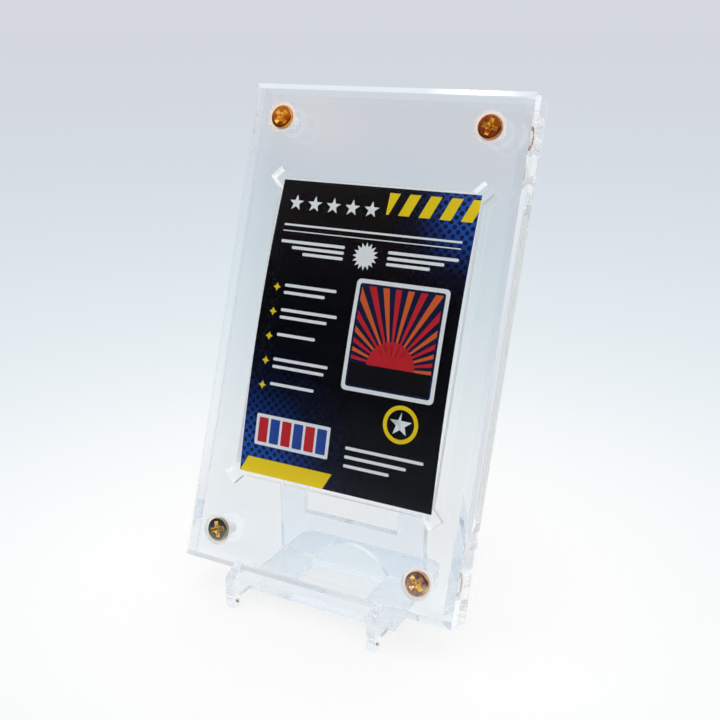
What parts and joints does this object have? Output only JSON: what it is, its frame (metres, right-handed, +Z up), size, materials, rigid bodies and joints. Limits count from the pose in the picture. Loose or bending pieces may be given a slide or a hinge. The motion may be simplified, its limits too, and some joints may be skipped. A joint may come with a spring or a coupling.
{
  "type": "trading card display case",
  "caption": "Clear screw-down display case for a trading card, held shut by brass machine screws, leaning back on a clear easel stand.",
  "frame": {"origin": "on the floor, under the middle of the object's box", "axes": "+Z up, the case faces -Y and leans back towards +Y, +X to the right seen from the front"},
  "size_m": [0.0874, 0.0644, 0.1456],
  "materials": {
    "clear_acrylic": "clear cast acrylic, polished faces and edges",
    "clear_stand_plastic": "clear moulded plastic, glossy",
    "printed_card": "coated card, printed, satin",
    "brass": "bright machined brass"
  },
  "bodies": {
    "stand": {"easel_stand": "clear_stand_plastic"},
    "case": {"front_plate": "clear_acrylic", "back_plate": "clear_acrylic", "insert_card": "printed_card"},
    "screw_top_left": {"screw_top_left": "brass"},
    "screw_top_right": {"screw_top_right": "brass"},
    "screw_bottom_left": {"screw_bottom_left": "brass"},
    "screw_bottom_right": {"screw_bottom_right": "brass"}
  },
  "joints": [
    {"name": "case_lift", "type": "slide", "parent": "stand", "child": "case", "axis": [0, 0.3305, 0.9438], "range_m": [0, 0.065]},
    {"name": "screw_top_left_out", "type": "slide", "parent": "case", "child": "screw_top_left", "axis": [0, -0.9438, 0.3305], "range_m": [0, 0.014]},
    {"name": "screw_top_right_out", "type": "slide", "parent": "case", "child": "screw_top_right", "axis": [0, -0.9438, 0.3305], "range_m": [0, 0.014]},
    {"name": "screw_bottom_left_out", "type": "slide", "parent": "case", "child": "screw_bottom_left", "axis": [0, -0.9438, 0.3305], "range_m": [0, 0.014]},
    {"name": "screw_bottom_right_out", "type": "slide", "parent": "case", "child": "screw_bottom_right", "axis": [0, -0.9438, 0.3305], "range_m": [0, 0.014]}
  ]
}
